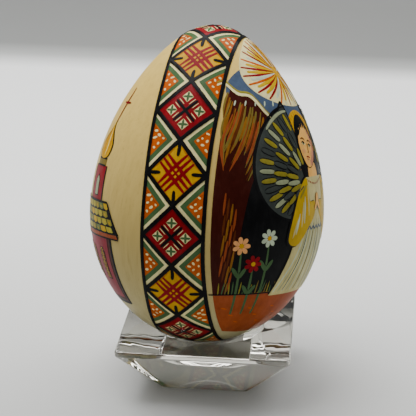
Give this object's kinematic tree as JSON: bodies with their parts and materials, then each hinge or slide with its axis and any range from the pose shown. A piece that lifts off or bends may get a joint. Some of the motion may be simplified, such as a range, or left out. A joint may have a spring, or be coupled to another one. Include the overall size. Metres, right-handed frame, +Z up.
{
  "type": "painted wooden egg on glass stand",
  "caption": "Painted and varnished turned wooden egg leaning in the shallow cup of a square clear glass stand; the egg lifts out.",
  "frame": {"origin": "centre of the stand's flat square foot, on the surface it stands on", "axes": "+Z up, square to the foot; the painted front with the diamond belt faces -Y; the stand's sides lie along X and Y; the egg leans back towards +Y"},
  "size_m": [0.066, 0.0668, 0.101],
  "materials": {
    "painted_wood": "hand-painted folk ornament on pale limewood under a satin varnish",
    "clear_glass": "clear pressed glass, fire polished"
  },
  "bodies": {
    "stand": {"glass_stand": "clear_glass"},
    "egg": {"wooden_egg": "painted_wood"}
  },
  "joints": [
    {"name": "egg_lift", "type": "slide", "parent": "stand", "child": "egg", "axis": [0, 0, 1], "range_m": [0, 0.03]}
  ]
}
